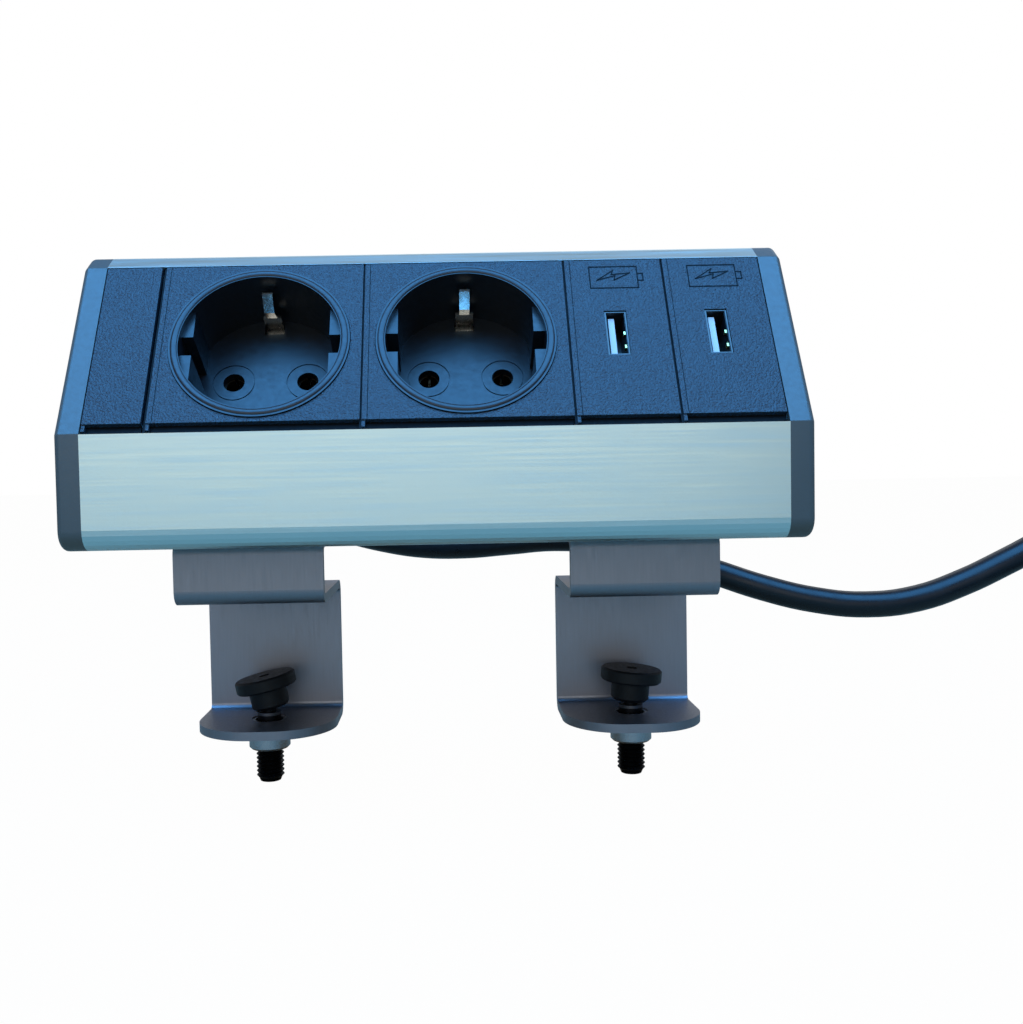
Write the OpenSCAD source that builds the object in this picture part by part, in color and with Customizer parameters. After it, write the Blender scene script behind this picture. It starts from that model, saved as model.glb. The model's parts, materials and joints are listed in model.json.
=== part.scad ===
// Desk power strip: a wedge-shaped aluminium housing with two earthed mains sockets and two
// USB chargers, held to a desk edge by two bent steel clamps. Millimetres, +Z up, +Y to the back.
// The origin is on the desk: X in the middle of the housing, Y on the desk's back edge,
// Z on the desk's upper face, where the clamps' jaws rest.

/* [Housing] */
// Length of the aluminium profile, without the end caps
profile_l = 165; // [165:1:200]
// Thickness of an end cap
cap_t = 6; // [5:0.5:8]
// Height of the upright front face
front_h = 27.5; // [26:0.5:30]
// Angle of the sloping face above the horizontal
slope_deg = 60; // [60:1:62]
// Length of the sloping face, from the front edge to the rim
slope_l = 49.5; // [49.5:0.5:51]
// Depth of the housing at its base
base_d = 56; // [56:1:60]
// Wall thickness of the profile
wall = 2; // [1.8:0.1:2.2]
// Height of the housing's base above the desk
body_z = 17.5; // [17:0.5:22]
// Distance from the desk's back edge forward to the housing's front face
front_set = 75; // [75:1:78]

/* [Modules] */
// Width of a mains socket module
socket_w = 50.2; // [50:0.1:50.2]
// Width of a USB charger module
usb_w = 24.8; // [24:0.1:24.8]
// Thickness of the face plates
plate_t = 3; // [2.5:0.5:3]
// Radius of a socket insert's rim ring
ring_r = 22; // [21.8:0.1:22.2]
// Radius of a socket's cup
cup_r = 19.7; // [19.5:0.1:19.8]
// Depth of a socket's cup
cup_depth = 17.3; // [17:0.1:17.5]
// Distance between the two pin holes of a socket
pin_gap = 19; // [19:1:19]
// Radius of a pin hole
pin_hole_r = 2.75; // [2.6:0.05:2.9]

/* [Clamps] */
// Width of the clamp strips
clamp_w = 40; // [36:1:44]
// Thickness of the clamp strips
clamp_t = 2.5; // [2:0.5:2.5]
// Place of the left clamp along the housing
clamp_left_x = -51; // [-56:1:-46]
// Place of the right clamp along the housing
clamp_right_x = 55; // [48:1:57]
// Length of the jaw that rests on the desk
jaw_l = 40; // [38:1:42]
// Clear height between the jaw and the lower plate
clamp_gap = 36.3; // [36:0.1:40]
// Length of the lower plate, forward of the desk's back edge
lower_l = 31; // [29:1:33]
// Distance of the clamping screw forward of the desk's back edge
screw_set = 14; // [13:0.5:15]
// Tilt of the left foot about the front-to-back axis
foot_left_tilt = -12; // [-13:1:13]
// Tilt of the right foot about the front-to-back axis
foot_right_tilt = 5; // [-13:1:13]

/* [Cord] */
// Diameter of the cord
cord_d = 8.4; // [8:0.1:8.6]

/* [Hidden] */

$fn = 48;
eps = 0.01;
arc_steps = 6;
blank_w = profile_l - 2 * socket_w - 2 * usb_w;
left_x = -profile_l / 2;

// Housing section in its own (depth, height) plane, from the front foot clockwise
rim_y = slope_l * cos(slope_deg);
rim_z = front_h + slope_l * sin(slope_deg);
section = [[0, 0], [0, front_h], [rim_y, rim_z], [rim_y + 5, rim_z + 3.3],
  [rim_y + 10, rim_z + 4], [base_d, rim_z - 26], [base_d, 0]];
section_r = [5, 0.5, 1.5, 4, 3, 6, 3];
boss_r = 3.4;
boss_in = wall + boss_r - 0.6;
bosses = [[boss_in, boss_in], [base_d - boss_in, boss_in], [rim_y + 8.4, rim_z - 2.2]];

// Channel in the base that holds the clamps' nuts, with a slot for their screws
rail_y = 42.5;
rail_slot = 4.6;
rail_in = 5;
rail_h = 4;
rail_rib = 1.5;
rail_screw_dx = 12;

// Modules along the slope
ledge_n = -plate_t - 0.2;
ledge_t = 2;
ledge_in = 4;
strip_low = 0.8;
plate_low = 2.6;
plate_high = slope_l - 0.3;
lower_step = 1.5;
slope_mid = 25.7;
socket_1_x = left_x + blank_w + socket_w / 2;
socket_2_x = socket_1_x + socket_w;
usb_1_x = socket_2_x + socket_w / 2 + usb_w / 2;
usb_2_x = usb_1_x + usb_w;
floor_t = 2.5;
cup_wall = 1.3;
lug_in = 3;
lug_top = 1.6;
lug_notch = 5.5;
clip_w = 2.6;
clip_t = 0.8;
clip_slot_w = 5.2;
sleeve_r = 3.4;
sleeve_in = 2.5;
sleeve_l = 12;
port_x = -0.6;
port_s = 26.4;
port_l = 13.1;
port_w = 5.3;
port_wall = 0.35;
port_depth = 14;

// Clamps
bend_r = 1.5;
lower_z = -clamp_gap;
plate_corner = 17;
screw_r = 4;
thread_root = 3.4;
thread_pitch = 1.25;
screw_end_z = -54.5;
ball_r = 3.3;
ball_z = -29.5;
neck_r = 2;
thread_top_z = -35.2;
nut_r = 5.95;
nut_h = 6.1;
nut_bore = 4.08;
nut_neck_r = 5;
foot_r = 8.8;
foot_disc = 3.8;
foot_top_z = -23.7;
hub_r = 5.5;
hub_bottom_z = -33.1;
ring_out = 3.5;

// Cord: outlet, route from the strain relief to the coil, coil and plug, on the floor
// that the clamping screws' ends stand on
cord_r = cord_d / 2;
outlet_x = -66;
outlet_z = 34;
relief_end = 8;
floor_z = screw_end_z;
coil_x = 300;
coil_y = -34;
coil_out = 57;
coil_in = 38;
coil_layers = 2;
plug_y = coil_y - coil_out;
tail_x = 266;
plug_z = floor_z + 18;
route = [[-66, 8, 34], [-66, 19, 33.5], [-65, 30, 31.5], [-61.5, 40.5, 28], [-55.5, 48.5, 23.5],
  [-46.5, 55, 18.5], [-34.5, 58, 14], [-21, 56, 10.5], [-7, 51.5, 8.5], [8, 45.5, 8.5],
  [23, 39, 10], [38, 32, 11.5], [54, 25.5, 10.5], [70, 20, 6.5], [86, 15.5, 1.5], [102, 12, -4],
  [118, 10, -8], [134, 9, -9.6], [150, 9, -8], [165, 9, -3], [179, 9, 3.5],
  [192, 10, 9.5], [205, 11.5, 13.5], [219, 13.5, 13.5], [232, 16.5, 8.5], [242, 18.7, 0],
  [250, 20.5, -11], [257, 21.8, -23], [265, 22.8, -34.5], [275, 23.4, -43.5], [287, 23.4, -49],
  [300, 23, -50.3]];
tail = [[coil_x, plug_y, floor_z + cord_r + cord_d], [288, plug_y, -41],
  [277, plug_y, -38], [tail_x, plug_y, plug_z]];

// --- outlines -------------------------------------------------------------

function unit(v) = v / norm(v);
function at(list, i) = list[(i + len(list)) % len(list)];
// Point set in from a convex outline's corner by w, measured square to both edges
function inset_corner(pts, i, w) =
  let (a = unit(at(pts, i - 1) - pts[i]), b = unit(at(pts, i + 1) - pts[i]),
    half = acos(a * b) / 2)
  pts[i] + unit(a + b) * w / sin(half);
function inset(pts, w) = [for (i = [0:len(pts) - 1]) inset_corner(pts, i, w)];
// Where a corner's round begins and ends
function round_ends(pts, radii, i) =
  let (a = unit(at(pts, i - 1) - pts[i]), b = unit(at(pts, i + 1) - pts[i]),
    t = radii[i] / tan(acos(a * b) / 2))
  [pts[i] + a * t, pts[i] + b * t];

// Points along a corner's round
function corner_arc(pts, radii, i) =
  let (c = inset_corner(pts, i, radii[i]), e = round_ends(pts, radii, i),
    u = (e[0] - c) / radii[i], v = (e[1] - c) / radii[i], turn = acos(u * v))
  [for (k = [0:arc_steps]) c + radii[i]
    * (sin((1 - k / arc_steps) * turn) * u + sin(k / arc_steps * turn) * v) / sin(turn)];

// Convex outline with a round of its own radius at each corner
module round_outline(pts, radii) {
  polygon([for (i = [0:len(pts) - 1]) each corner_arc(pts, radii, i)]);
}

// A (depth, height) outline of the housing drawn out along X from x0 to x1
module along_x(x0, x1) {
  translate([x0, -front_set, body_z])
    rotate([90, 0, 90])
      linear_extrude(x1 - x0)
        children();
}

// Frame of the sloping face: X along the strip, Y up the slope, Z out of the face
module on_slope(x = 0, s = 0, n = 0) {
  translate([0, -front_set, body_z + front_h])
    rotate([slope_deg, 0, 0])
      translate([x, s, n])
        children();
}

// The slope's frame in the section plane
module slope_section(s0, s1, n0, n1) {
  translate([0, front_h])
    rotate(slope_deg)
      translate([s0, n0])
        square([s1 - s0, n1 - n0]);
}

// --- housing --------------------------------------------------------------

// Outer shell of the profile, open along the slope where the modules sit
module profile_shell() {
  x = profile_l / 2;
  inner_r = [for (r = section_r) max(r - wall, 0.4)];
  difference() {
    along_x(-x, x) round_outline(section, section_r);
    along_x(-x - 1, x + 1) round_outline(inset(section, wall), inner_r);
    along_x(-x - 1, x + 1) slope_section(-0.1, slope_l, ledge_n, 6);
  }
}

module profile() {
  x = profile_l / 2;
  color("lightsteelblue")
    difference() {
      union() {
        profile_shell();
        for (b = bosses)
          along_x(-x, x) translate(b) circle(boss_r);
        along_x(-x, x) slope_section(-3, ledge_in, ledge_n - ledge_t, ledge_n);
        along_x(-x, x) slope_section(slope_l - 2, slope_l + 3.4, ledge_n - ledge_t, ledge_n);
        for (side = [-1, 1])
          along_x(-x, x)
            translate([rail_y + side * (rail_in + rail_rib / 2) - rail_rib / 2, wall / 2])
              square([rail_rib, wall / 2 + rail_h]);
        along_x(-x, x)
          translate([rail_y - rail_in - rail_rib, wall + rail_h])
            square([2 * (rail_in + rail_rib), rail_rib]);
      }
      for (b = bosses)
        along_x(-x - 1, x + 1) translate(b) circle(1.6);
      along_x(-x - 1, x + 1) translate([rail_y - rail_slot / 2, -1]) square([rail_slot, wall + 2]);
      translate([outlet_x, base_d - front_set - wall - 1, outlet_z])
        rotate([-90, 0, 0])
          cylinder(h = wall + 2, r = 6);
    }
}

// Cap with an outer edge rounded in steps, built for the left end: its inner face at x = 0
module cap_shape() {
  edge_r = 1.6;
  difference() {
    union()
      for (a = [0:22.5:90]) {
        drop = edge_r * (1 - cos(a));
        along_x(-cap_t + edge_r - edge_r * sin(a), 0)
          round_outline(inset(section, drop), [for (r = section_r) max(r - drop, 0.4)]);
      }
    for (b = bosses) {
      along_x(-cap_t - 1, 1) translate(b) circle(1.75);
      translate([-cap_t - eps, b[0] - front_set, b[1] + body_z])
        rotate([0, 90, 0]) cylinder(h = 1.8, r1 = 3.2, r2 = 1.6);
    }
  }
}

module end_cap_left() {
  color([0.07, 0.08, 0.09]) translate([left_x, 0, 0]) cap_shape();
}

module end_cap_right() {
  color([0.07, 0.08, 0.09]) translate([-left_x, 0, 0]) mirror([1, 0, 0]) cap_shape();
}

// Countersunk screws, three in each cap, cutting into the profile's screw channels
module cap_screws() {
  head_r = 2.9;
  color("dimgray")
    for (side = [0, 1], b = bosses)
      mirror([side, 0, 0])
        translate([left_x - cap_t + 0.1, b[0] - front_set, b[1] + body_z])
          rotate([0, 90, 0])
            difference() {
              union() {
                cylinder(h = 1.7, r1 = head_r, r2 = 1.58);
                cylinder(h = 16, r = 1.58);
              }
              for (turn = [0, 90])
                rotate(turn) translate([-1.5, -0.3, -1]) cube([3, 0.6, 2]);
            }
}

// Face plate of a module: w wide, its left edge at x = 0. A lowered strip runs along its
// foot, with a narrow full-height edge at the left.
module plate_blank(w) {
  translate([0, plate_low, -plate_t]) cube([w, plate_high - plate_low, plate_t]);
  translate([0, strip_low, -plate_t]) cube([w, plate_low - strip_low + eps, plate_t - lower_step]);
  translate([0, strip_low, -plate_t]) cube([0.8, plate_low - strip_low + eps, plate_t - 0.3]);
}

module blank_plate() {
  color([0.09, 0.1, 0.12])
    on_slope(left_x + 0.3) {
      plate_blank(blank_w - 1.3);
      for (s = [12, 36])
        translate([3, s, -plate_t - 3]) cube([blank_w - 7.3, 2, 3 + eps]);
    }
}

// --- mains sockets --------------------------------------------------------

module socket_plate(xc) {
  color([0.09, 0.1, 0.12])
    on_slope(xc)
      difference() {
        translate([-socket_w / 2 + 0.2, 0, 0]) plate_blank(socket_w - 0.5);
        translate([0, slope_mid, -plate_t - 1]) cylinder(h = plate_t + 2, r = ring_r + 0.15);
      }
}

// Hollow of the cup below its guide lugs
module cup_hollow() {
  intersection() {
    circle(cup_r);
    union() {
      square([2 * (cup_r - lug_in), 3 * cup_r], center = true);
      square([3 * cup_r, lug_notch], center = true);
    }
  }
}

module socket_cup(xc) {
  rim_t = 2.6;
  proud = 0.4;
  color([0.08, 0.09, 0.11])
    on_slope(xc, slope_mid)
      difference() {
        union() {
          translate([0, 0, -rim_t]) cylinder(h = rim_t + proud, r = ring_r);
          translate([0, 0, -cup_depth - floor_t])
            cylinder(h = cup_depth + floor_t, r = cup_r + cup_wall);
        }
        translate([0, 0, -lug_top]) cylinder(h = lug_top + 2, r = cup_r);
        translate([0, 0, -cup_depth]) linear_extrude(cup_depth) cup_hollow();
        for (side = [-1, 1]) {
          translate([side * pin_gap / 2, 0, -cup_depth - floor_t - 1])
            cylinder(h = floor_t + 2, r = pin_hole_r);
          translate([side * pin_gap / 2, 0, -cup_depth - 0.3])
            difference() {
              cylinder(h = 1, r = 5.5);
              translate([0, 0, -1]) cylinder(h = 3, r = 5.2);
            }
          translate([-clip_slot_w / 2, side * 16.9 - 1.6, -cup_depth - floor_t - 1])
            cube([clip_slot_w, 3.2, floor_t + 2]);
        }
      }
}

// Outline of one earth spring arm: (distance from the axis, height)
arm_line = [[17.2, -20.6], [17.2, -13], [15.4, -8.6], [17.6, -4.2]];

module socket_earth_clip(xc) {
  color("silver")
    on_slope(xc, slope_mid) {
      translate([-2.4, -17.6, -cup_depth - floor_t - 1.2]) cube([4.8, 35.2, clip_t]);
      for (side = [0, 1])
        mirror([0, side, 0])
          rotate([90, 0, 90])
            for (i = [0:len(arm_line) - 2]) {
              w = i == 0 ? 4.6 : clip_w;
              translate([0, 0, -w / 2])
                linear_extrude(w)
                  polygon([arm_line[i], arm_line[i + 1], arm_line[i + 1] + [clip_t, 0],
                    arm_line[i] + [clip_t, 0]]);
            }
    }
}

module socket_sleeves(xc) {
  color("goldenrod")
    on_slope(xc, slope_mid, -cup_depth - floor_t - 0.1 - sleeve_l)
      for (side = [-1, 1])
        translate([side * pin_gap / 2, 0, 0])
          difference() {
            cylinder(h = sleeve_l, r = sleeve_r);
            translate([0, 0, 1]) cylinder(h = sleeve_l, r = sleeve_in);
            translate([-0.4, -sleeve_r - 1, 3]) cube([0.8, 2 * sleeve_r + 2, sleeve_l]);
          }
}

module socket_1_plate() { socket_plate(socket_1_x); }
module socket_1_cup() { socket_cup(socket_1_x); }
module socket_1_earth_clip() { socket_earth_clip(socket_1_x); }
module socket_1_sleeves() { socket_sleeves(socket_1_x); }
module socket_2_plate() { socket_plate(socket_2_x); }
module socket_2_cup() { socket_cup(socket_2_x); }
module socket_2_earth_clip() { socket_earth_clip(socket_2_x); }
module socket_2_sleeves() { socket_sleeves(socket_2_x); }

// --- USB chargers ---------------------------------------------------------

module usb_plate(xc) {
  color([0.09, 0.1, 0.12])
    on_slope(xc)
      difference() {
        translate([-usb_w / 2 + 0.3, 0, 0]) plate_blank(usb_w - 0.6);
        translate([port_x - port_w / 2 - 0.1, port_s - port_l / 2 - 0.1, -plate_t - 1])
          cube([port_w + 0.2, port_l + 0.2, plate_t + 2]);
      }
}

module usb_shell(xc) {
  color("silver")
    on_slope(xc + port_x, port_s, -port_depth - 0.3)
      difference() {
        translate([-port_w / 2, -port_l / 2, 0]) cube([port_w, port_l, port_depth]);
        translate([-port_w / 2 + port_wall, -port_l / 2 + port_wall, 1])
          cube([port_w - 2 * port_wall, port_l - 2 * port_wall, port_depth]);
      }
}

module usb_tongue(xc) {
  color("whitesmoke")
    on_slope(xc + port_x, port_s, -port_depth + 0.7) {
      translate([-port_w / 2 + 1, -5.4, 0]) cube([1.5, 10.8, port_depth - 2.4]);
      translate([-port_w / 2 + port_wall, -port_l / 2 + port_wall, 0])
        cube([port_w - 2 * port_wall, port_l - 2 * port_wall, 1.5]);
    }
}

module usb_contacts(xc) {
  color("gold")
    on_slope(xc + port_x, port_s, -port_depth + 2.2)
      for (i = [0:3])
        translate([-port_w / 2 + 2.5, -4.1 + i * 2.4, 0]) cube([0.3, 1, 8.4]);
}

// Charger board on edge behind the port, with its transformer, capacitors and chip
module usb_board(xc) {
  board_x = -port_w / 2 - 1.9;
  color("darkgreen")
    on_slope(xc + port_x + board_x, 0, 0)
      translate([0, 9, -26]) cube([1.6, 35, 22.5]);
  color("black")
    on_slope(xc + port_x + board_x + 1.6, 0, 0) {
      translate([0, 10, -25]) cube([11, 12, 9]);
      translate([0, 24, -25]) cube([2, 6, 6]);
      for (s = [34, 41])
        translate([4.5, s, -25]) cylinder(h = 9, r = 3);
      for (s = [34, 41])
        translate([0, s - 1, -22]) cube([3, 2, 2]);
    }
}

module usb_1_plate() { usb_plate(usb_1_x); }
module usb_1_shell() { usb_shell(usb_1_x); }
module usb_1_tongue() { usb_tongue(usb_1_x); }
module usb_1_contacts() { usb_contacts(usb_1_x); }
module usb_1_board() { usb_board(usb_1_x); }
module usb_2_plate() { usb_plate(usb_2_x); }
module usb_2_shell() { usb_shell(usb_2_x); }
module usb_2_tongue() { usb_tongue(usb_2_x); }
module usb_2_contacts() { usb_contacts(usb_2_x); }
module usb_2_board() { usb_board(usb_2_x); }

// --- wiring inside --------------------------------------------------------

bar_n = -cup_depth - floor_t - sleeve_l - 1.1;
bar_x0 = socket_1_x - 16;
bar_x1 = socket_2_x + 16;

// Rail along X with a tab to one sleeve of each socket; side is -1 for the left sleeves
module contact_bar(side) {
  s0 = side < 0 ? slope_mid + 5 : slope_mid - 8;
  on_slope(0, 0, bar_n) {
    translate([bar_x0, s0, 0]) cube([bar_x1 - bar_x0, 3, 1]);
    for (xc = [socket_1_x, socket_2_x])
      translate([xc + side * pin_gap / 2 - 2, side < 0 ? slope_mid - 3 : slope_mid - 6, 0])
        cube([4, 9, 1]);
  }
}

module live_bar() { color("peru") contact_bar(-1); }
module neutral_bar() { color("steelblue") contact_bar(1); }

module earth_bar() {
  color("yellowgreen")
    on_slope(0, slope_mid + 14, -cup_depth - floor_t - 2.2)
      translate([bar_x0, 0, 0]) cube([bar_x1 - bar_x0, 3, 1]);
}

block_x0 = -50;
block_y0 = 15;
block_z0 = wall + 0.1;
pole_pitch = 8;

// Three-pole screw terminal on the base
module terminal_block() {
  color("ivory")
    translate([block_x0, block_y0 - front_set, body_z + block_z0])
      difference() {
        cube([3 * pole_pitch, 12, 11]);
        for (i = [0:2]) {
          translate([(i + 0.5) * pole_pitch, -1, 4.5]) rotate([-90, 0, 0]) cylinder(h = 14, r = 1.6);
          translate([(i + 0.5) * pole_pitch, 6, 5.5]) cylinder(h = 7, r = 1.7);
        }
      }
}

module terminal_screws() {
  color("silver")
    for (i = [0:2])
      translate([block_x0 + (i + 0.5) * pole_pitch, block_y0 + 6 - front_set, body_z + block_z0 + 6.2])
        difference() {
          cylinder(h = 4.2, r = 1.65);
          translate([-2, -0.25, 3.4]) cube([4, 0.5, 2]);
        }
}

grip_y = 42;
grip_h = 16.5;
grip_z0 = wall + rail_h + rail_rib + 0.1;
inner_y = 36;

// Saddle on the nut channel that holds the cord's sheath just inside the outlet
module cord_grip() {
  grip_l = 5;
  color("ivory")
    translate([outlet_x, grip_y - front_set - grip_l / 2 - 1, 0])
      difference() {
        translate([-10, 0, body_z + grip_z0]) cube([20, grip_l, grip_h]);
        translate([0, -1, outlet_z]) rotate([-90, 0, 0]) cylinder(h = grip_l + 2, r = cord_r + 0.02);
        for (side = [-1, 1])
          translate([side * 7.5, grip_l / 2, body_z + grip_z0 + 1]) cylinder(h = grip_h, r = 1.5);
      }
}

module cord_grip_screws() {
  color("silver")
    for (side = [-1, 1])
      translate([outlet_x + side * 7.5, grip_y - front_set - 1, body_z + grip_z0 + grip_h])
        difference() {
          union() {
            translate([0, 0, -14]) cylinder(h = 14.2, r = 1.45);
            translate([0, 0, 0.05]) cylinder(h = 1.8, r = 2.4);
          }
          translate([-3, -0.3, 1.2]) cube([6, 0.6, 2]);
        }
}

// Sheathed end of the cord from the grip out through the strain relief
module cord_inner() {
  color([0.06, 0.07, 0.08])
    translate([outlet_x, inner_y - front_set, outlet_z])
      rotate([-90, 0, 0])
        cylinder(h = relief_end + front_set - inner_y, r = cord_r);
}

// Rubber bend relief: collar inside the wall, neck in the wall's hole, ribbed taper outside
module strain_relief() {
  back_y = base_d - front_set;
  out_l = relief_end - back_y;
  color([0.06, 0.07, 0.08])
    translate([outlet_x, back_y, outlet_z])
      rotate([-90, 0, 0])
        difference() {
          union() {
            translate([0, 0, -wall - 1.5]) cylinder(h = 1.5, r = 7.8);
            translate([0, 0, -wall - eps]) cylinder(h = wall + 2 * eps, r = 5.95);
            cylinder(h = 3.5, r = 8.6);
            cylinder(h = out_l, r1 = 7.4, r2 = 5.4);
          }
          translate([0, 0, -wall - 3]) cylinder(h = out_l + 8, r = cord_r + 0.02);
          for (i = [0:4])
            translate([0, 0, 7 + 3.6 * i])
              difference() {
                cylinder(h = 1.4, r = 10);
                translate([0, 0, -1]) cylinder(h = 4, r = 6.1 - 0.22 * i);
              }
        }
}

// --- desk clamps ----------------------------------------------------------

// Quarter of a bend between two legs: centre of its rounds at the origin, lying in the
// quadrant that starts at angle a
module bend(a) {
  rotate(a)
    intersection() {
      difference() {
        circle(bend_r + clamp_t);
        circle(bend_r);
      }
      square(bend_r + clamp_t);
    }
}

// Side view of a clamp strip in (depth from the desk's edge, height)
module clamp_section() {
  b = bend_r + clamp_t;
  flange_l = 20;
  translate([-jaw_l + b, body_z - clamp_t]) square([flange_l - b, clamp_t]);
  translate([-jaw_l + b, body_z - b]) bend(90);
  translate([-jaw_l, b]) square([clamp_t, body_z - 2 * b]);
  translate([-jaw_l + b, b]) bend(180);
  translate([-jaw_l + b, 0]) square([jaw_l - b - bend_r, clamp_t]);
  translate([-bend_r, -bend_r]) bend(0);
  translate([0, lower_z + bend_r]) square([clamp_t, clamp_gap - 2 * bend_r]);
  translate([-bend_r, lower_z + bend_r]) bend(270);
  translate([-lower_l, lower_z - clamp_t]) square([lower_l - bend_r, clamp_t]);
}

// Bent clamp strip, with holes in its jaw that a key reaches the rail screws through
module clamp_bracket(xc) {
  color("slategray")
    translate([xc, 0, 0])
      difference() {
        translate([-clamp_w / 2, 0, 0])
          rotate([90, 0, 90])
            linear_extrude(clamp_w)
              clamp_section();
        for (side = [0, 1])
          mirror([side, 0, 0])
            translate([clamp_w / 2 - plate_corner, -lower_l + plate_corner, lower_z - clamp_t - 1])
              linear_extrude(clamp_t + 2)
                difference() {
                  translate([0, -plate_corner - 1]) square([plate_corner + 1, plate_corner + 1]);
                  circle(plate_corner);
                }
        translate([0, -screw_set, lower_z - clamp_t - 1]) cylinder(h = clamp_t + 2, r = nut_neck_r);
        for (side = [-1, 1])
          translate([side * rail_screw_dx, rail_y - front_set, 0]) {
            translate([0, 0, body_z - clamp_t - 1]) cylinder(h = clamp_t + 2, r = 2.3);
            translate([0, 0, -1]) cylinder(h = clamp_t + 2, r = 3.2);
          }
      }
}

// Threaded boss pressed into the lower plate from below
module clamp_nut(xc) {
  color("silver")
    translate([xc, -screw_set, lower_z - clamp_t])
      difference() {
        union() {
          translate([0, 0, -nut_h + 0.6]) cylinder(h = nut_h - 0.6, r = nut_r);
          translate([0, 0, -nut_h]) cylinder(h = 0.6, r1 = nut_r - 0.6, r2 = nut_r);
          translate([0, 0, -eps]) cylinder(h = clamp_t - 0.3, r = nut_neck_r - 0.01);
        }
        translate([0, 0, -nut_h - 1]) cylinder(h = nut_h + clamp_t + 2, r = nut_bore);
      }
}

// Clamping screw: ringed thread, neck and ball, with a hexagon socket in its lower end
module clamp_screw(xc) {
  teeth = floor((thread_top_z - screw_end_z - 2) / thread_pitch);
  z0 = screw_end_z + 1;
  color([0.1, 0.1, 0.11])
    translate([xc, -screw_set, 0])
      difference() {
        union() {
          rotate_extrude()
            polygon(concat([[0, screw_end_z], [thread_root - 0.4, screw_end_z]],
              [for (i = [0:teeth - 1], k = [0, 1])
                k == 0 ? [thread_root, z0 + i * thread_pitch]
                  : [screw_r, z0 + (i + 0.5) * thread_pitch]],
              [[thread_root, z0 + teeth * thread_pitch], [thread_root, thread_top_z],
                [0, thread_top_z]]));
          translate([0, 0, thread_top_z - eps]) cylinder(h = ball_z - thread_top_z, r = neck_r);
          translate([0, 0, ball_z]) sphere(ball_r);
        }
        translate([0, 0, screw_end_z - 1]) cylinder(h = 5, r = 2.9, $fn = 6);
      }
}

module clamp_ring(xc) {
  color("silver")
    translate([xc, -screw_set, thread_top_z + 0.1])
      difference() {
        cylinder(h = 0.8, r = ring_out);
        translate([0, 0, -1]) cylinder(h = 3, r = neck_r + 0.08);
      }
}

// Pressure foot that tilts on the screw's ball
module clamp_foot(xc, tilt) {
  color([0.05, 0.05, 0.06])
    translate([xc, -screw_set, ball_z])
      rotate([0, tilt, 0])
        difference() {
          union() {
            translate([0, 0, foot_top_z - ball_z - foot_disc + 0.5])
              cylinder(h = foot_disc - 1, r = foot_r);
            translate([0, 0, foot_top_z - ball_z - 0.5]) cylinder(h = 0.5, r1 = foot_r, r2 = foot_r - 0.5);
            translate([0, 0, foot_top_z - ball_z - foot_disc])
              cylinder(h = 0.5, r1 = foot_r - 0.5, r2 = foot_r);
            translate([0, 0, hub_bottom_z - ball_z + 0.8])
              cylinder(h = foot_top_z - foot_disc - hub_bottom_z - 0.8 + eps, r = hub_r);
            translate([0, 0, hub_bottom_z - ball_z]) cylinder(h = 0.8, r1 = hub_r - 0.8, r2 = hub_r);
          }
          sphere(ball_r + 0.1);
          translate([0, 0, hub_bottom_z - ball_z - 1]) cylinder(h = 1 - hub_bottom_z + ball_z, r = 3.05);
          translate([0, 0, foot_top_z - ball_z - 0.8]) cylinder(h = 2, r = 1.6);
        }
}

module clamp_left_bracket() { clamp_bracket(clamp_left_x); }
module clamp_left_nut() { clamp_nut(clamp_left_x); }
module clamp_left_screw() { clamp_screw(clamp_left_x); }
module clamp_left_ring() { clamp_ring(clamp_left_x); }
module clamp_left_foot() { clamp_foot(clamp_left_x, foot_left_tilt); }
module clamp_right_bracket() { clamp_bracket(clamp_right_x); }
module clamp_right_nut() { clamp_nut(clamp_right_x); }
module clamp_right_screw() { clamp_screw(clamp_right_x); }
module clamp_right_ring() { clamp_ring(clamp_right_x); }
module clamp_right_foot() { clamp_foot(clamp_right_x, foot_right_tilt); }

// Places of the four rail screws
rail_places = [for (xc = [clamp_left_x, clamp_right_x], side = [-1, 1])
  [xc + side * rail_screw_dx, rail_y - front_set, body_z]];

module rail_nuts() {
  color("silver")
    for (p = rail_places)
      translate(p)
        difference() {
          translate([-4.5, -4.5, wall + 0.02]) cube([9, 9, 3.4]);
          translate([0, 0, wall - 1]) cylinder(h = 6, r = 2.02);
        }
}

module rail_screws() {
  head_h = 2.2;
  color("dimgray")
    for (p = rail_places)
      translate(p - [0, 0, clamp_t])
        difference() {
          union() {
            cylinder(h = clamp_t + wall + 3.2, r = 2);
            translate([0, 0, -head_h]) cylinder(h = head_h, r1 = 2.8, r2 = 3.7);
          }
          translate([0, 0, -head_h - 1]) cylinder(h = 2.4, r = 1.4, $fn = 6);
        }
}

// --- cord -----------------------------------------------------------------

tube_sides = 10;

// Ring of points about p, square to direction t
function ring_points(p, t) =
  let (side = unit(cross(t, [0, 0, 1])), up = cross(side, t))
  [for (k = [0:tube_sides - 1]) p + cord_r * (cos(360 * k / tube_sides) * side + sin(360 * k / tube_sides) * up)];
function run_of(pts, i) = unit(pts[min(i + 1, len(pts) - 1)] - pts[max(i - 1, 0)]);

// Round tube along a list of points; first and last give the directions at its ends
module tube(pts, first, last) {
  n = len(pts);
  m = tube_sides;
  dirs = [for (i = [0:n - 1]) i == 0 ? first : i == n - 1 ? last : run_of(pts, i)];
  rings = [for (i = [0:n - 1]) each ring_points(pts[i], dirs[i])];
  polyhedron(rings, concat(
    [[for (k = [0:m - 1]) k]],
    [for (i = [0:n - 2], k = [0:m - 1])
      [i * m + k, (i + 1) * m + k, (i + 1) * m + (k + 1) % m, i * m + (k + 1) % m]],
    [[for (k = [0:m - 1]) n * m - 1 - k]]));
}

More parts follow.
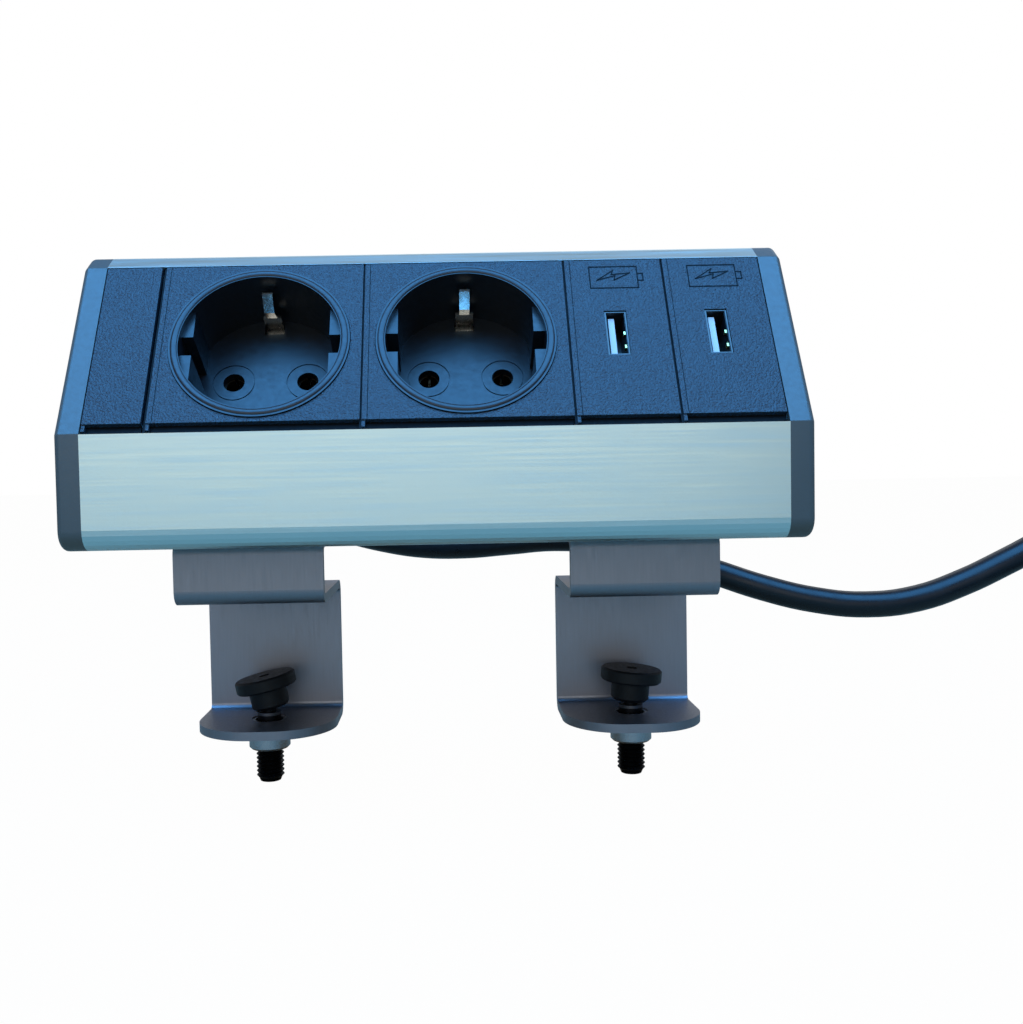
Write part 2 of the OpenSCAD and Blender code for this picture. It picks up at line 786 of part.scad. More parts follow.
module cord() {
  color([0.06, 0.07, 0.08]) tube(route, [0, 1, 0], [1, 0, 0]);
}

module cord_coil() {
  half = (coil_out - coil_in) / 2 + cord_r;
  color([0.06, 0.07, 0.08])
    translate([coil_x, coil_y, floor_z])
      rotate_extrude()
        translate([coil_in - cord_r, 0]) square([2 * half, coil_layers * cord_d]);
}

// Hook-and-loop strap round the coil's bundle
module cord_tie() {
  strap_w = 12;
  strap_t = 1;
  bundle = coil_out - coil_in + cord_d;
  color("dimgray")
    translate([coil_x - coil_out - cord_r - strap_t, coil_y - strap_w / 2, floor_z])
      difference() {
        cube([bundle + 2 * strap_t, strap_w, coil_layers * cord_d + strap_t]);
        translate([strap_t, -1, strap_t])
          cube([bundle, strap_w + 2, coil_layers * cord_d - strap_t]);
      }
}

module cord_tail() {
  color([0.06, 0.07, 0.08]) tube(tail, [-1, 0, 0], [-1, 0, 0]);
}

plug_relief = 24;
plug_l = 36;
plug_r = 18;

// Round plug lying on its side, its pins towards -X
module plug_frame() {
  translate([tail_x, plug_y, plug_z]) rotate([0, -90, 0]) children();
}

module plug_body() {
  color([0.06, 0.07, 0.08])
    plug_frame()
      difference() {
        union() {
          cylinder(h = plug_relief + eps, r1 = 5.4, r2 = 8);
          translate([0, 0, plug_relief]) cylinder(h = 10, r1 = 9.5, r2 = 12);
          translate([0, 0, plug_relief + 10]) cylinder(h = 12, r1 = 12, r2 = plug_r);
          translate([0, 0, plug_relief + 22]) cylinder(h = 14, r = plug_r);
        }
        for (side = [-1, 1]) {
          translate([-3, side * plug_r - 2, plug_relief + 24]) cube([6, 4, 13]);
          translate([0, side * pin_gap / 2, plug_relief + plug_l - 8]) cylinder(h = 9, r = 2.02);
        }
        translate([0, 0, plug_relief + plug_l - 6]) cylinder(h = 7, r = 2.6);
      }
}

// Two round pins and the two earth strips in the plug's side grooves
module plug_pins() {
  color("silver")
    plug_frame() {
      for (side = [-1, 1]) {
        translate([0, side * pin_gap / 2, plug_relief + plug_l - 8]) {
          cylinder(h = 8 + eps, r = 2);
          translate([0, 0, 8 + eps]) cylinder(h = 18, r = 2.4);
          translate([0, 0, 26]) cylinder(h = 1, r1 = 2.4, r2 = 1.4);
        }
        translate([-2.5, side * (plug_r - 1.5) - 0.4, plug_relief + 24.1]) cube([5, 0.8, 11.5]);
      }
    }
}

profile();
end_cap_left();
end_cap_right();
cap_screws();
blank_plate();
socket_1_plate();
socket_1_cup();
socket_1_earth_clip();
socket_1_sleeves();
socket_2_plate();
socket_2_cup();
socket_2_earth_clip();
socket_2_sleeves();
usb_1_plate();
usb_1_shell();
usb_1_tongue();
usb_1_contacts();
usb_1_board();
usb_2_plate();
usb_2_shell();
usb_2_tongue();
usb_2_contacts();
usb_2_board();
live_bar();
neutral_bar();
earth_bar();
terminal_block();
terminal_screws();
cord_grip();
cord_grip_screws();
cord_inner();
strain_relief();
clamp_left_bracket();
clamp_left_nut();
clamp_left_screw();
clamp_left_ring();
clamp_left_foot();
clamp_right_bracket();
clamp_right_nut();
clamp_right_screw();
clamp_right_ring();
clamp_right_foot();
rail_nuts();
rail_screws();
cord();
cord_coil();
cord_tie();
cord_tail();
plug_body();
plug_pins();
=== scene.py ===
"""Desk power strip: cord, materials, detail pieces, light and camera round the CAD model."""

import json
import math

import bmesh
import bpy
from mathutils import Matrix, Vector


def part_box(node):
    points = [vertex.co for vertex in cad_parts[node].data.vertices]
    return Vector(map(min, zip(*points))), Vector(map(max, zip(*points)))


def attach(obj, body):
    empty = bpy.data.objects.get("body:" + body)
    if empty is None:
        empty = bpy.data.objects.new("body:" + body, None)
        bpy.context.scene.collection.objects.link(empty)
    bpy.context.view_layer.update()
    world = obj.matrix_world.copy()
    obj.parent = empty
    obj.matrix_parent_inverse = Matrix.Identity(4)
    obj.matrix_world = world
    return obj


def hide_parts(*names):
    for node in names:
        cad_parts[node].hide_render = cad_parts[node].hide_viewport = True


MM = 0.001

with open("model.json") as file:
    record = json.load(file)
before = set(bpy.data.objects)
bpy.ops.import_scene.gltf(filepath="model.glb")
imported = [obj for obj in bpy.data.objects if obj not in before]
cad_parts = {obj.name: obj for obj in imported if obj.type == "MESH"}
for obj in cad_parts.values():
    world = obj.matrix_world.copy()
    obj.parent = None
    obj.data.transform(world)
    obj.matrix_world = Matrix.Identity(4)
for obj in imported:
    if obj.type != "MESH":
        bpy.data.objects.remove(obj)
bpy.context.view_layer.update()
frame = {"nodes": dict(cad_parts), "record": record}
nodes = frame["nodes"]

# --- places worked out from the frame ---------------------------------------

PROFILE_LOW, PROFILE_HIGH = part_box("profile")
CAP_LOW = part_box("end_cap_left")[0]
CAP_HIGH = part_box("end_cap_right")[1]
SLOPE = math.radians(60)
FRONT_H = 27.5 * MM
SLOPE_L = 49.5 * MM
SLOPE_MID = 25.7 * MM
BASE_D = PROFILE_HIGH[1] - PROFILE_LOW[1]
FLOOR_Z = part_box("cord_coil")[0][2]


def middle(node, axis):
    """The middle of a node's box along an axis."""
    low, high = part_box(node)
    return (low[axis] + high[axis]) / 2


def on_slope(x, s, n):
    """The point x along the strip, s up the sloping face and n out of it."""
    y = PROFILE_LOW[1] + s * math.cos(SLOPE) - n * math.sin(SLOPE)
    z = PROFILE_LOW[2] + FRONT_H + s * math.sin(SLOPE) + n * math.cos(SLOPE)
    return Vector((x, y, z))


# --- camera -----------------------------------------------------------------

CAMERA_MM = (3, -315, 34.5)
HEADING = -0.4
TIP_DOWN = 2.2
ROLL = -1.09


def add_camera():
    data = bpy.data.cameras.new("camera")
    data.lens = 36.35
    data.sensor_width = 36
    data.shift_x = 0.0533
    data.clip_start = 0.01
    camera = bpy.data.objects.new("camera", data)
    bpy.context.scene.collection.objects.link(camera)
    camera.location = Vector(CAMERA_MM) * MM
    heading = Matrix.Rotation(math.radians(HEADING), 3, "Z")
    pitch = Matrix.Rotation(math.radians(90 - TIP_DOWN), 3, "X")
    roll = Matrix.Rotation(math.radians(ROLL), 3, "Z")
    camera.rotation_euler = (heading @ pitch @ roll).to_euler()
    bpy.context.scene.camera = camera


add_camera()

# --- materials --------------------------------------------------------------


def new_material(name, color, rough, metal=0.0, specular=0.5):
    mat = bpy.data.materials.new(name)
    mat.use_nodes = True
    shader = mat.node_tree.nodes["Principled BSDF"]
    shader.inputs["Base Color"].default_value = (*color, 1)
    shader.inputs["Roughness"].default_value = rough
    shader.inputs["Metallic"].default_value = metal
    shader.inputs["Specular IOR Level"].default_value = specular
    return mat


def add_node(mat, kind, **settings):
    node = mat.node_tree.nodes.new(kind)
    for key, value in settings.items():
        if key in node.inputs:
            node.inputs[key].default_value = value
        else:
            setattr(node, key, value)
    return node


def add_noise(mat, scale, stretch=(1, 1, 1), detail=3.0):
    """Noise in object space, stretched along the axes."""
    tree = mat.node_tree
    coords = add_node(mat, "ShaderNodeTexCoord")
    mapping = add_node(mat, "ShaderNodeMapping", Scale=stretch)
    noise = add_node(mat, "ShaderNodeTexNoise", Scale=scale, Detail=detail)
    tree.links.new(coords.outputs["Object"], mapping.inputs["Vector"])
    tree.links.new(mapping.outputs["Vector"], noise.inputs["Vector"])
    return noise


def add_bump(mat, height, strength, distance):
    tree = mat.node_tree
    bump = add_node(mat, "ShaderNodeBump", Strength=strength, Distance=distance)
    tree.links.new(height, bump.inputs["Height"])
    tree.links.new(bump.outputs["Normal"], tree.nodes["Principled BSDF"].inputs["Normal"])


def vary(mat, height, socket, low, high):
    """Spreads a shader value between low and high with the noise."""
    tree = mat.node_tree
    spread = add_node(mat, "ShaderNodeMapRange")
    spread.inputs["From Min"].default_value = 0.3
    spread.inputs["From Max"].default_value = 0.7
    spread.inputs["To Min"].default_value = low
    spread.inputs["To Max"].default_value = high
    tree.links.new(height, spread.inputs["Value"])
    tree.links.new(spread.outputs["Result"], tree.nodes["Principled BSDF"].inputs[socket])


def brushed(name, color, rough, stretch, depth=0.00002):
    """Metal with a fine grain, stretched along the brushing."""
    mat = new_material(name, color, rough, metal=1.0)
    noise = add_noise(mat, 1900, stretch, detail=4.0)
    vary(mat, noise.outputs["Fac"], "Roughness", rough - 0.06, rough + 0.08)
    add_bump(mat, noise.outputs["Fac"], 0.35, depth)
    return mat


def textured_plastic(name, color, rough, grain=1400, depth=0.00006, specular=0.5):
    """Moulded plastic with a spark-eroded texture."""
    mat = new_material(name, color, rough, specular=specular)
    noise = add_noise(mat, grain, detail=2.0)
    vary(mat, noise.outputs["Fac"], "Roughness", rough - 0.05, rough + 0.07)
    add_bump(mat, noise.outputs["Fac"], 0.5, depth)
    return mat


def sheathing(name, color, rough, specular=0.5):
    """Extruded or moulded rubber: faint long waves and a fine skin."""
    mat = new_material(name, color, rough, specular=specular)
    noise = add_noise(mat, 160, detail=5.0)
    vary(mat, noise.outputs["Fac"], "Roughness", rough - 0.05, rough + 0.08)
    add_bump(mat, noise.outputs["Fac"], 0.25, 0.00004)
    return mat


def plated(name, color, rough):
    """Small plated or machined metal, a little uneven."""
    mat = new_material(name, color, rough, metal=1.0)
    noise = add_noise(mat, 500, detail=3.0)
    vary(mat, noise.outputs["Fac"], "Roughness", rough - 0.05, rough + 0.08)
    return mat


MATERIALS = {
    "profile": brushed("anodised_aluminium", (0.56, 0.68, 0.66), 0.34, (0.02, 1, 1)),
    "cap": textured_plastic("cap_plastic", (0.060, 0.066, 0.062), 0.36, 900, 0.00003),
    "plate": textured_plastic("plate_plastic", (0.012, 0.022, 0.032), 0.40, 1900, 0.0010),
    "cup": textured_plastic("cup_plastic", (0.005, 0.007, 0.010), 0.34, 700, 0.00004),
    "earth_clip": plated("plated_strip", (0.78, 0.74, 0.68), 0.2),
    # The sleeves' brass is darkened nearly to black: painted shade inside the pin holes.
    "sleeve": plated("brass_darkened_for_painted_shade", (0.05, 0.04, 0.03), 0.5),
    "usb_shell": plated("plated_shell", (0.09, 0.08, 0.075), 0.35),
    "usb_tongue": textured_plastic("white_plastic", (0.52, 0.49, 0.46), 0.45, 900, 0.00002),
    "usb_contact": plated("gold_contact", (0.85, 0.62, 0.25), 0.25),
    "board": textured_plastic("board", (0.02, 0.12, 0.06), 0.5, 500, 0.00002),
    "copper": plated("copper_strip", (0.78, 0.42, 0.26), 0.35),
    "terminal": textured_plastic("ivory_plastic", (0.62, 0.58, 0.46), 0.45, 900, 0.00003),
    "inner_screw": plated("zinc_screw", (0.30, 0.30, 0.31), 0.35),
    "cord": sheathing("cord_sheath", (0.005, 0.007, 0.009), 0.30, 0.3),
    "relief": sheathing("relief_rubber", (0.010, 0.011, 0.013), 0.42, 0.4),
    "clamp": brushed("clamp_steel", (0.25, 0.245, 0.27), 0.42, (1, 1, 0.05), 0.00003),
    "clamp_nut": brushed("turned_steel", (0.42, 0.44, 0.46), 0.30, (1, 1, 8)),
    "clamp_screw": plated("black_oxide", (0.012, 0.012, 0.014), 0.36),
    "snap_ring": plated("spring_steel", (0.10, 0.10, 0.11), 0.35),
    "foot": textured_plastic("foot_plastic", (0.003, 0.003, 0.004), 0.46, 900, 0.00003, 0.22),
    "tie": textured_plastic("tie_weave", (0.020, 0.020, 0.023), 0.85, 2500, 0.0002),
    "plug": sheathing("plug_rubber", (0.010, 0.011, 0.013), 0.40, 0.4),
    "pin": plated("nickel_pin", (0.74, 0.74, 0.72), 0.2),
}
# Black for the signs' print, and painted shade on the plates' foot strips and in the gaps between
# plates.
PRINT_AND_PAINTED_SHADE_BLACK = textured_plastic("print_and_painted_shade_black", (0.002, 0.003, 0.004), 0.6, 900, 0.00002, 0.12)


def finish_piece(piece, slot, body="housing", look=None):
    """Gives a new piece its material (the slot's, unless a look is given) and the body that it
    rides on.
    """
    piece.data.materials.clear()
    piece.data.materials.append(look or MATERIALS[slot])
    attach(piece, body)
    return piece


def add_mesh(name, points, faces, smooth_angle=40):
    mesh = bpy.data.meshes.new(name)
    mesh.from_pydata([tuple(p) for p in points], [], faces)
    built = bmesh.new()
    built.from_mesh(mesh)
    bmesh.ops.recalc_face_normals(built, faces=built.faces)
    built.to_mesh(mesh)
    built.free()
    mesh.shade_smooth()
    mesh.set_sharp_from_angle(angle=math.radians(smooth_angle))
    piece = bpy.data.objects.new(name, mesh)
    bpy.context.scene.collection.objects.link(piece)
    return piece


def stack_rings(rings, closed=True):
    """Points and faces of a skin over rings of equal size; closed ends get a face each."""
    count = len(rings[0])
    points = [p for ring in rings for p in ring]
    faces = []
    for i in range(len(rings) - 1):
        for k in range(count):
            a = i * count + k
            b = i * count + (k + 1) % count
            faces.append((a, b, b + count, a + count))
    if closed:
        faces.append(tuple(range(count)))
        faces.append(tuple(range(len(points) - count, len(points))))
    return points, faces


# --- cord, plug and tie -----------------------------------------------------

CORD_D = 8.4 * MM
ROUTE_MM = [
    (-66, 8, 34), (-66, 19, 33.5), (-65, 30, 31.5), (-61.5, 40.5, 28), (-55.5, 48.5, 23.5),
    (-46.5, 55, 18.5), (-34.5, 58, 14), (-21, 56, 10.5), (-7, 51.5, 8.5), (8, 45.5, 8.5),
    (23, 39, 10), (38, 32, 11.5), (54, 25.5, 10.5), (70, 20, 6.5), (86, 15.5, 1.5), (102, 12, -4),
    (118, 10, -8), (134, 9, -9.6), (150, 9, -8), (165, 9, -3), (179, 9, 3.5),
    (192, 10, 9.5), (205, 11.5, 13.5), (219, 13.5, 13.5), (232, 16.5, 8.5), (242, 18.7, 0),
    (250, 20.5, -11), (257, 21.8, -23), (265, 22.8, -34.5), (275, 23.4, -43.5), (287, 23.4, -49),
    (300, 23, -50.3),
]
TAIL_MM = [(288, -91, -41), (277, -91, -38), (266, -91, -36.5)]
COIL_OUT = 57 * MM
COIL_PITCH = 8.5 * MM
LAYER_TURNS = 2.25
POINTS_PER_TURN = 24
CLIMB_POINTS = 6
COIL_X = middle("cord_coil", 0)
COIL_Y = middle("cord_coil", 1)


def coil_points():
    """Turns inwards on the floor, then outwards on top of them, ending half a turn round."""
    steps = int(LAYER_TURNS * POINTS_PER_TURN)
    points = []
    for i in range(1, 2 * steps + 1):
        turn = i / POINTS_PER_TURN
        radius = COIL_OUT - COIL_PITCH * min(turn, 2 * LAYER_TURNS - turn)
        climb = min(max((i - steps) / CLIMB_POINTS + 0.5, 0), 1)
        angle = math.pi / 2 - 2 * math.pi * turn
        points.append(Vector((
            COIL_X + radius * math.cos(angle),
            COIL_Y + radius * math.sin(angle),
            FLOOR_Z + CORD_D / 2 + climb * CORD_D,
        )))
    return points


def add_cord():
    route = [Vector(p) * MM for p in ROUTE_MM]
    tail = [Vector(p) * MM for p in TAIL_MM]
    points = route + coil_points() + tail
    curve = bpy.data.curves.new("cord_curve", "CURVE")
    curve.dimensions = "3D"
    curve.bevel_depth = CORD_D / 2
    curve.bevel_resolution = 5
    curve.use_fill_caps = True
    spline = curve.splines.new("BEZIER")
    spline.bezier_points.add(len(points) - 1)
    for place, point in zip(spline.bezier_points, points):
        place.co = point
        place.handle_left_type = "AUTO"
        place.handle_right_type = "AUTO"
    spline.resolution_u = 5
    cord = bpy.data.objects.new("free_cord", curve)
    bpy.context.scene.collection.objects.link(cord)
    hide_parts("cord", "cord_coil", "cord_tail")
    return finish_piece(cord, "cord")


TIE_THICK = 1.0 * MM
TIE_STEPS = 6


def add_tie():
    """A strap round the coil's bundle: an outline with round corners, drawn out along Y."""
    low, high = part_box("cord_tie")
    thick = TIE_THICK
    corner = CORD_D / 2
    rings = []
    for y, grow in ((low[1], 0), (high[1], 0), (high[1], -thick), (low[1], -thick)):
        ring = []
        for quarter, (x, z) in enumerate((
            (high[0] - corner - thick, high[2] - corner - thick),
            (low[0] + corner + thick, high[2] - corner - thick),
            (low[0] + corner + thick, low[2] + corner),
            (high[0] - corner - thick, low[2] + corner),
        )):
            radius = corner + (thick if quarter < 2 else 0) + grow
            for k in range(TIE_STEPS + 1):
                angle = math.pi / 2 * (quarter + k / TIE_STEPS)
                across = radius * math.cos(angle)
                ring.append(Vector((x + across, y, z + radius * math.sin(angle))))
        rings.append(ring)
    points, faces = stack_rings(rings + [rings[0]], closed=False)
    tie = add_mesh("coil_tie", points, faces)
    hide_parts("cord_tie")
    return finish_piece(tie, "tie")


cord = add_cord()
tie = add_tie()

# --- CAD nodes: materials, soft edges, smooth shading -----------------------

BEVELS = {
    "profile": 0.25, "blank_plate": 0.35, "socket_1_plate": 0.3, "socket_2_plate": 0.3,
    "usb_1_plate": 0.35, "usb_2_plate": 0.35, "socket_1_cup": 0.2, "socket_2_cup": 0.2,
    "clamp_left_bracket": 0.25, "clamp_right_bracket": 0.25, "plug_body": 0.8,
    "clamp_left_nut": 0.15, "clamp_right_nut": 0.15,
}
SMOOTH_ANGLE = math.radians(30)


def dress_nodes():
    for part in frame["record"]["subparts"]:
        node = nodes[part["node"]]
        node.data.materials.clear()
        node.data.materials.append(MATERIALS[part["material_slot"]])
        node.data.shade_smooth()
        node.data.set_sharp_from_angle(angle=SMOOTH_ANGLE)
        width = BEVELS.get(part["node"])
        if width:
            bevel = node.modifiers.new("soft_edges", "BEVEL")
            bevel.width = width * MM
            bevel.segments = 2
            bevel.limit_method = "ANGLE"
            bevel.angle_limit = SMOOTH_ANGLE
            bevel.harden_normals = True


dress_nodes()

# --- end caps ---------------------------------------------------------------

ARC_STEPS = 8
CAP_EDGE = 1.6 * MM
HOLE_STEPS = 32


def cap_outline(inset):
    """The housing's outline in (y, z), moved in by inset, with a round at each corner."""
    rim_y = SLOPE_L * math.cos(SLOPE)
    rim_z = FRONT_H + SLOPE_L * math.sin(SLOPE)
    corners = [
        ((0, 0), 5), ((0, FRONT_H), 0.5), ((rim_y, rim_z), 1.5),
        ((rim_y + 5 * MM, rim_z + 3.3 * MM), 4), ((rim_y + 10 * MM, rim_z + 4 * MM), 3),
        ((BASE_D, rim_z - 26 * MM), 6), ((BASE_D, 0), 3),
    ]
    outline = []
    for i, (corner, radius) in enumerate(corners):
        here = Vector(corner)
        to_last = (Vector(corners[i - 1][0]) - here).normalized()
        to_next = (Vector(corners[(i + 1) % len(corners)][0]) - here).normalized()
        half = to_last.angle(to_next) / 2
        radius = max(radius * MM - inset, 0.4 * MM)
        centre = here + (to_last + to_next).normalized() * (radius + inset) / math.sin(half)
        start = centre - here
        first = (to_last * start.dot(to_last) - start).normalized()
        last = (to_next * start.dot(to_next) - start).normalized()
        turn = first.angle(last)
        for k in range(ARC_STEPS + 1):
            t = k / ARC_STEPS
            way = (first * math.sin((1 - t) * turn) + last * math.sin(t * turn)) / math.sin(turn)
            outline.append(centre + way * radius)
    return outline


CAP_SCREWS = [
    (4.8 * MM, 4.8 * MM),
    (51.2 * MM, 4.8 * MM),
    (SLOPE_L * math.cos(SLOPE) + 8.4 * MM, FRONT_H + SLOPE_L * math.sin(SLOPE) - 2.2 * MM),
]


def screw_hole(inner_x, outer_x, y, z):
    """Countersunk cutter along X."""
    side = 1 if outer_x > inner_x else -1
    rings = []
    for x, radius in (
        (outer_x + side * 0.5 * MM, 3.65), (outer_x - side * 1.62 * MM, 1.75),
        (inner_x - side * MM, 1.75),
    ):
        ring = []
        for k in range(HOLE_STEPS):
            angle = 2 * math.pi * k / HOLE_STEPS
            across = radius * MM * math.cos(angle)
            up = radius * MM * math.sin(angle)
            ring.append(Vector((x, PROFILE_LOW[1] + y + across, PROFILE_LOW[2] + z + up)))
        rings.append(ring)
    return stack_rings(rings)


def join_parts(parts):
    """One list of points and faces from several."""
    points, faces = [], []
    for some_points, some_faces in parts:
        start = len(points)
        points += some_points
        faces += [tuple(start + i for i in face) for face in some_faces]
    return points, faces


def cut_away(piece, points, faces):
    """Takes a closed cutter out of a piece's mesh."""
    cutter = add_mesh("cutter", points, faces)
    cut = piece.modifiers.new("cut", "BOOLEAN")
    cut.operation = "DIFFERENCE"
    cut.solver = "EXACT"
    cut.object = cutter
    shape = piece.evaluated_get(bpy.context.evaluated_depsgraph_get())
    mesh = bpy.data.meshes.new_from_object(shape)
    piece.modifiers.clear()
    piece.data = mesh
    bpy.data.objects.remove(cutter)
    mesh.shade_smooth()
    mesh.set_sharp_from_angle(angle=math.radians(40))


def add_cap(name, node, inner_x, outer_x):
    """End cap with a round outer edge and a hole for each of its screws."""
    side = 1 if outer_x > inner_x else -1
    rings = []
    places = [(inner_x, 0)]
    for k in range(ARC_STEPS + 1):
        angle = math.pi / 2 * k / ARC_STEPS
        x = outer_x - side * CAP_EDGE * (1 - math.sin(angle))
        places.append((x, CAP_EDGE * (1 - math.cos(angle))))
    for x, inset in places:
        rings.append([
            Vector((x, PROFILE_LOW[1] + p.x, PROFILE_LOW[2] + p.y)) for p in cap_outline(inset)
        ])
    points, faces = stack_rings(rings)
    cap = add_mesh(name, points, faces)
    holes = [screw_hole(inner_x, outer_x, y, z) for y, z in CAP_SCREWS]
    cut_away(cap, *join_parts(holes))
    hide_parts(node)
    return finish_piece(cap, "cap")


add_cap("left_cap", "end_cap_left", PROFILE_LOW[0], CAP_LOW[0])
add_cap("right_cap", "end_cap_right", PROFILE_HIGH[0], CAP_HIGH[0])

# --- socket rims ------------------------------------------------------------

RIM_STEPS = 96
RIM_CROWN = [
    (19.75, -1.2), (19.8, 0.3), (20.1, 0.62), (20.8, 0.75), (21.4, 0.62), (21.7, 0.2),
    (21.7, -0.1),
]


def add_rim(index):
    """A crowned ring round the mouth of a socket's cup."""
    centre_x = middle(f"socket_{index}_cup", 0)
    rings = []
    for radius, height in RIM_CROWN:
        ring = []
        for k in range(RIM_STEPS):
            angle = 2 * math.pi * k / RIM_STEPS
            across = radius * MM * math.cos(angle)
            along = radius * MM * math.sin(angle)
            ring.append(on_slope(centre_x + across, SLOPE_MID + along, height * MM))
        rings.append(ring)
    points, faces = stack_rings(rings + [rings[0]], closed=False)
    finish_piece(add_mesh(f"socket_{index}_rim", points, faces, 60), "cup")


add_rim(1)
add_rim(2)

# --- USB ports and signs ----------------------------------------------------


def slope_box(x0, x1, s0, s1, n0, n1):
    """Corners and faces of a box in the sloping face's frame."""
    lower = [(x0, s0), (x1, s0), (x1, s1), (x0, s1)]
    rings = [[on_slope(x, s, n) for x, s in lower] for n in (n0, n1)]
    return stack_rings(rings)


def stroke(x, s, line, closed, width, low, high):
    """Bars along a line of (across, along) points in millimetres round (x, s)."""
    ends = line[1:] + line[:1] if closed else line[1:]
    parts = []
    for start, end in zip(line, ends):
        a = Vector(start) * MM
        b = Vector(end) * MM
        way = (b - a).normalized() * width / 2
        side = Vector((-way.y, way.x))
        corners = [a - way - side, b + way - side, b + way + side, a - way + side]
        parts.append(stack_rings([
            [on_slope(x + c.x, s + c.y, n) for c in corners] for n in (low, high)
        ]))
    return parts


# Lines of the sign, in millimetres from its middle
BATTERY = [(-6, -3.4), (6, -3.4), (6, 3.4), (-6, 3.4)]
NUB = [(6, -1.1), (7.4, -1.1), (7.4, 1.1), (6, 1.1)]
FLASH = [(-4.2, -0.9), (0.4, 0.5), (0.1, -0.9), (4.2, 1.3), (-0.5, 0.9), (0, 2.2)]
SIGN_S = 43.6 * MM
SIGN_WIDTH = 0.28 * MM
SIGN_HIGH = 0.09 * MM


def add_sign(index):
    """A battery outline with a flash in it, standing just proud of the plate."""
    x = middle(f"usb_{index}_plate", 0)
    parts = []
    for line, closed in ((BATTERY, True), (NUB, False), (FLASH, True)):
        parts += stroke(x, SIGN_S, line, closed, SIGN_WIDTH, -0.1 * MM, SIGN_HIGH)
    sign = add_mesh(f"usb_{index}_sign", *join_parts(parts))
    finish_piece(sign, "plate", look=PRINT_AND_PAINTED_SHADE_BLACK)


PORT_S = 26.4
PORT_HALF = 6.55
SHELL_WALL = 0.36
PORT_FLOOR = -12.1 * MM
PORT_MOUTH = -0.6 * MM
# Thickness of the black lining on the shell's inner walls: painted shade inside the port.
PAINTED_SHADE_LINING = 0.12 * MM
TONGUE_ROOM = 2.5 * MM
INSULATOR = 4 * MM
FINGER_HALF = 0.45 * MM


def add_port_core(index):
    """The port's dark insulator, with a black lining on its walls as painted shade inside the
    port, and two spring fingers.
    """
    low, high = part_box(f"usb_{index}_shell")
    x0 = low[0] + SHELL_WALL * MM
    x1 = high[0] - SHELL_WALL * MM
    s0 = (PORT_S - PORT_HALF + SHELL_WALL) * MM
    s1 = (PORT_S + PORT_HALF - SHELL_WALL) * MM
    parts = [
        slope_box(x0 + TONGUE_ROOM, x1, s0, s1, PORT_FLOOR, PORT_FLOOR + INSULATOR),
        slope_box(x0, x0 + PAINTED_SHADE_LINING, s0, s1, PORT_FLOOR, PORT_MOUTH),
        slope_box(x1 - PAINTED_SHADE_LINING, x1, s0, s1, PORT_FLOOR, PORT_MOUTH),
        slope_box(x0, x1, s0, s0 + PAINTED_SHADE_LINING, PORT_FLOOR, PORT_MOUTH),
        slope_box(x0, x1, s1 - PAINTED_SHADE_LINING, s1, PORT_FLOOR, PORT_MOUTH),
    ]
    core = add_mesh(f"usb_{index}_core", *join_parts(parts))
    finish_piece(core, "cup")
    fingers = [
        slope_box(
            x1 - 0.6 * MM, x1 - 0.1 * MM, s - FINGER_HALF, s + FINGER_HALF, -2.2 * MM, -0.9 * MM
        )
        for s in (s0 + 2.6 * MM, s0 + 6.6 * MM)
    ]
    finish_piece(add_mesh(f"usb_{index}_fingers", *join_parts(fingers)), "usb_contact")


FOOT_LOW = 0.3 * MM
FOOT_HIGH = 2.6 * MM
FOOT_N = -1.45 * MM
JOINT_TOP = 49.2 * MM
JOINT_LINE = 1.2 * MM
GAP = 0.6 * MM


def add_joints_and_painted_shade():
    """Matt black foot strips and gap liners as painted shade in the shadowed foot groove and the
    gaps between plates, and the fine line beside each module's joint.
    """
    parts = []
    for name in ("blank", "socket_1", "socket_2", "usb_1", "usb_2"):
        low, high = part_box(f"{name}_plate")
        x0, x1 = low[0], high[0]
        # Foot strip: a matt black skin over the lowered strip, painted shade where the groove
        # lies in shadow.
        parts.append(slope_box(x0 + 0.8 * MM, x1, FOOT_LOW, FOOT_HIGH, -3 * MM, FOOT_N))
        if name != "blank":
            # Gap liner: a matt black sheet inside the gap between two plates, painted shade.
            parts.append(slope_box(
                x0 - GAP, x0 + 0.1 * MM, FOOT_LOW, JOINT_TOP, -2.9 * MM, -0.5 * MM
            ))
            line = x0 + JOINT_LINE
            parts.append(slope_box(
                line, line + 0.16 * MM, FOOT_HIGH, JOINT_TOP, -0.1 * MM, 0.03 * MM
            ))
    finish_piece(add_mesh("module_joints_and_painted_shade", *join_parts(parts)), "plate", look=PRINT_AND_PAINTED_SHADE_BLACK)


add_joints_and_painted_shade()
for number in (1, 2):
    add_sign(number)
    add_port_core(number)

# --- floor, light -----------------------------------------------------------


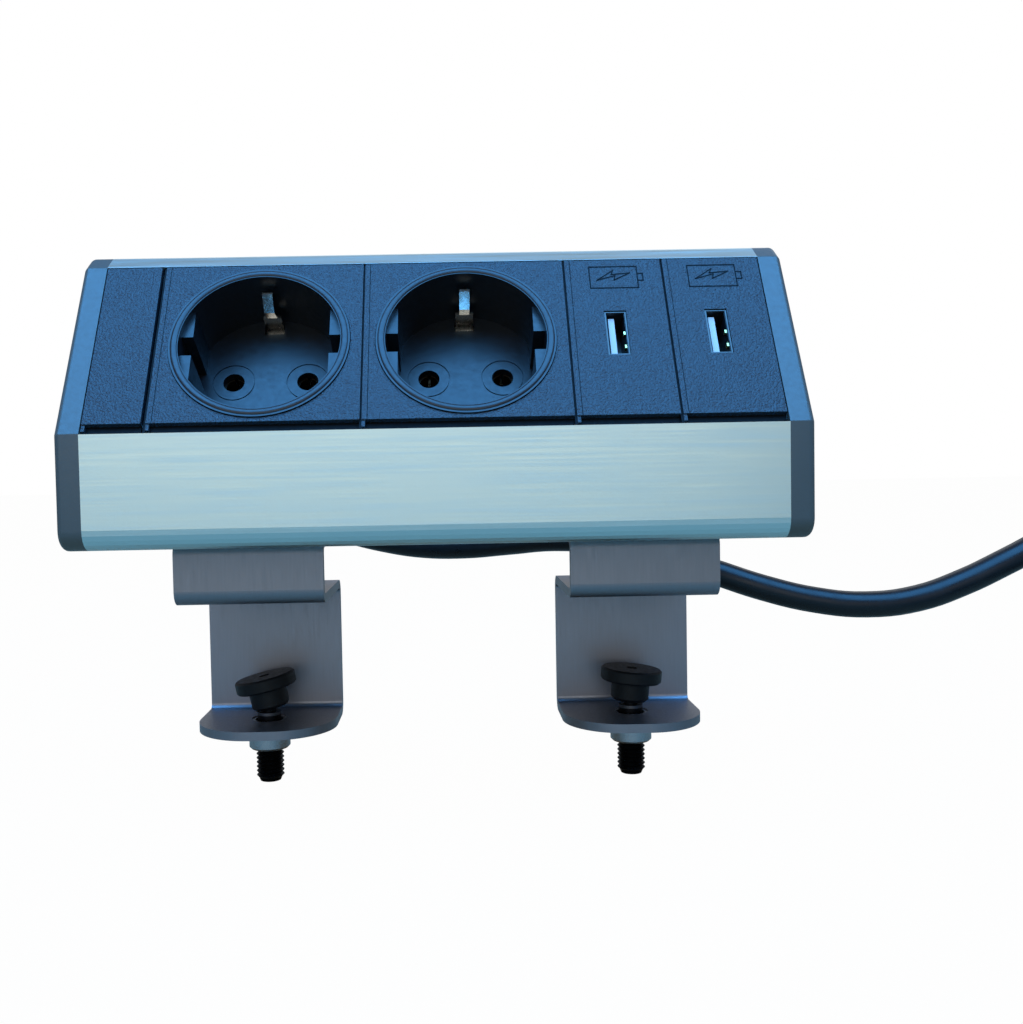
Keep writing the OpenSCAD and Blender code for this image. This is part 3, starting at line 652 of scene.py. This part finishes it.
def white_to_camera(tree, surface, share):
    """Mixes white light into a surface as the camera sees it directly, not in reflections."""
    path = tree.nodes.new("ShaderNodeLightPath")
    glow = tree.nodes.new("ShaderNodeEmission")
    mix = tree.nodes.new("ShaderNodeMixShader")
    scale = tree.nodes.new("ShaderNodeMath")
    scale.operation = "MULTIPLY"
    scale.inputs[1].default_value = share
    tree.links.new(path.outputs["Is Camera Ray"], scale.inputs[0])
    tree.links.new(scale.outputs[0], mix.inputs[0])
    tree.links.new(surface, mix.inputs[1])
    tree.links.new(glow.outputs[0], mix.inputs[2])
    return mix.outputs[0]


FLOOR_HALF = 6
FLOOR_DROP = 0.0002
FLOOR_WHITE = 0.985


def add_floor():
    half = FLOOR_HALF
    corners = [(-half, -half), (half, -half), (half, half), (-half, half)]
    points = [(x, y, FLOOR_Z - FLOOR_DROP) for x, y in corners]
    floor = add_mesh("floor", points, [(0, 1, 2, 3)])
    white = new_material("floor_white", (0.34, 0.27, 0.18), 0.8)
    tree = white.node_tree
    surface = white_to_camera(tree, tree.nodes["Principled BSDF"].outputs[0], FLOOR_WHITE)
    tree.links.new(surface, tree.nodes["Material Output"].inputs["Surface"])
    floor.data.materials.append(white)


def add_panel(name, place, target, size, radiance, color):
    """A soft rectangular light of that radiance, facing target."""
    data = bpy.data.lights.new(name, "AREA")
    data.shape = "RECTANGLE"
    data.size, data.size_y = size
    data.energy = radiance * math.pi * size[0] * size[1]
    data.color = color
    light = bpy.data.objects.new(name, data)
    light.location = place
    light.rotation_euler = (Vector(target) - Vector(place)).to_track_quat("-Z", "Y").to_euler()
    bpy.context.scene.collection.objects.link(light)


def add_world():
    world = bpy.data.worlds.new("studio")
    world.use_nodes = True
    tree = world.node_tree
    back = tree.nodes["Background"]
    back.inputs["Color"].default_value = (0.86, 0.94, 1, 1)
    back.inputs["Strength"].default_value = 0.30
    surface = white_to_camera(tree, back.outputs[0], 1.0)
    tree.links.new(surface, tree.nodes["World Output"].inputs["Surface"])
    bpy.context.scene.world = world


MIDDLE = (0, -0.06, 0.03)
add_floor()
add_world()
add_panel("sky_panel", (0, -0.42, 0.95), MIDDLE, (1.7, 0.9), 8.6, (0.085, 0.42, 1.0))
add_panel("front_panel", (-0.2, -1.3, 0.25), MIDDLE, (1.6, 0.8), 0.95, (0.92, 0.98, 1.0))
add_panel("back_panel", (0.2, 1.2, 0.9), MIDDLE, (1.4, 0.8), 0.8, (0.9, 0.96, 1.0))

bpy.context.scene.view_settings.view_transform = "Standard"
